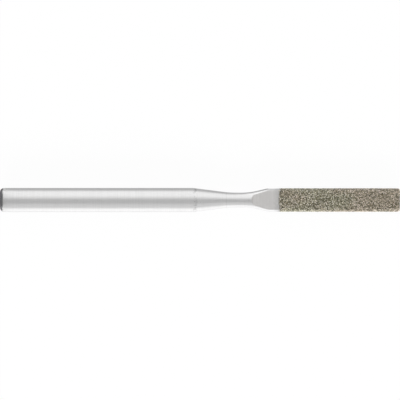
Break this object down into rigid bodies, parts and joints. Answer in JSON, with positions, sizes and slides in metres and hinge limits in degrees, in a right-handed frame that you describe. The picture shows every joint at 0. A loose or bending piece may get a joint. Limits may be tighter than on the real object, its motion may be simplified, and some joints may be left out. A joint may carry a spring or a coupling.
{
  "type": "flat diamond file",
  "caption": "Slim steel file for a machine holder: round shank, waisted neck and a head milled flat on both faces, its end covered with bonded diamond grit.",
  "frame": {"origin": "centre of the shank's rear end face, where a holder's stop meets it", "axes": "+X along the shank's axis towards the coated tip, +Z square to the two flats, +Y across the blade"},
  "size_m": [0.05, 0.003, 0.003],
  "materials": {
    "ground_steel": "turned and ground, satin; the two flats milled to a fine matt face",
    "bonded_diamond": "coarse, sharp grit of olive and brown diamond standing out of dull grey nickel"
  },
  "bodies": {
    "root": {"file_body": "ground_steel", "diamond_coating": "bonded_diamond"}
  },
  "joints": []
}
